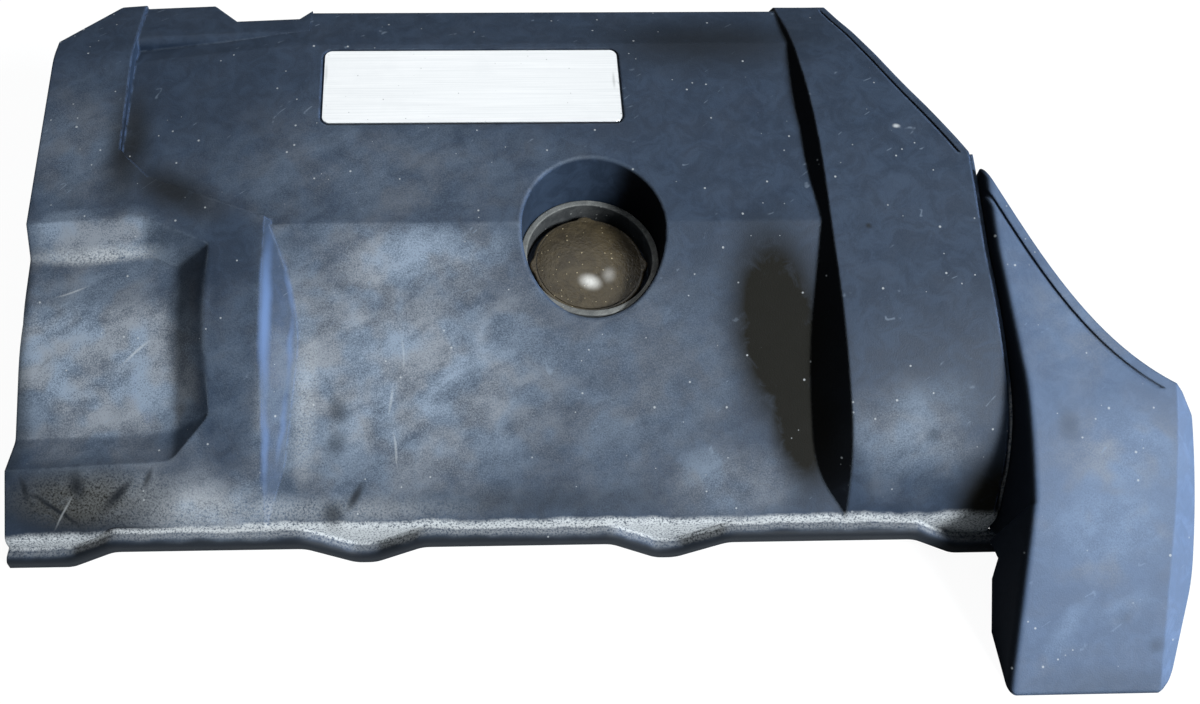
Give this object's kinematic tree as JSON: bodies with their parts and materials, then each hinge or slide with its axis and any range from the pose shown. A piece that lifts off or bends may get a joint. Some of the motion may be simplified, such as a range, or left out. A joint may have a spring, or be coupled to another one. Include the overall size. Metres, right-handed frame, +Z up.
{
  "type": "engine cover",
  "caption": "Moulded plastic top cover for a transverse engine: stepped sloping roof, bare badge plate, round oil filler well, scalloped front lip and a side wing; it presses onto ball studs.",
  "frame": {"origin": "centre of the bounding box in plan, on the level of the lowest points", "axes": "+X to the right along the engine, +Y to the back, +Z up; the scalloped lip faces -Y"},
  "size_m": [0.701, 0.4264, 0.1727],
  "materials": {
    "cover_plastic": "fine grain, dusty",
    "wing_plastic": "fine grain, dusty",
    "screw_steel": "zinc plated",
    "plate_aluminium": "satin brushed",
    "plate_tape": "foam tape",
    "seal_rubber": "dusty",
    "cap_plastic": "brown dust",
    "pad_foam": "open-cell foam",
    "grommet_rubber": "matt"
  },
  "bodies": {
    "root": {"main_cover": "cover_plastic", "side_wing": "wing_plastic", "wing_screws": "screw_steel", "badge_plate": "plate_aluminium", "badge_tape": "plate_tape", "filler_seal": "seal_rubber", "filler_cap": "cap_plastic", "foam_left": "pad_foam", "foam_right": "pad_foam", "grommet_front_left": "grommet_rubber", "grommet_front_right": "grommet_rubber", "grommet_rear_left": "grommet_rubber", "grommet_rear_right": "grommet_rubber"}
  },
  "joints": []
}
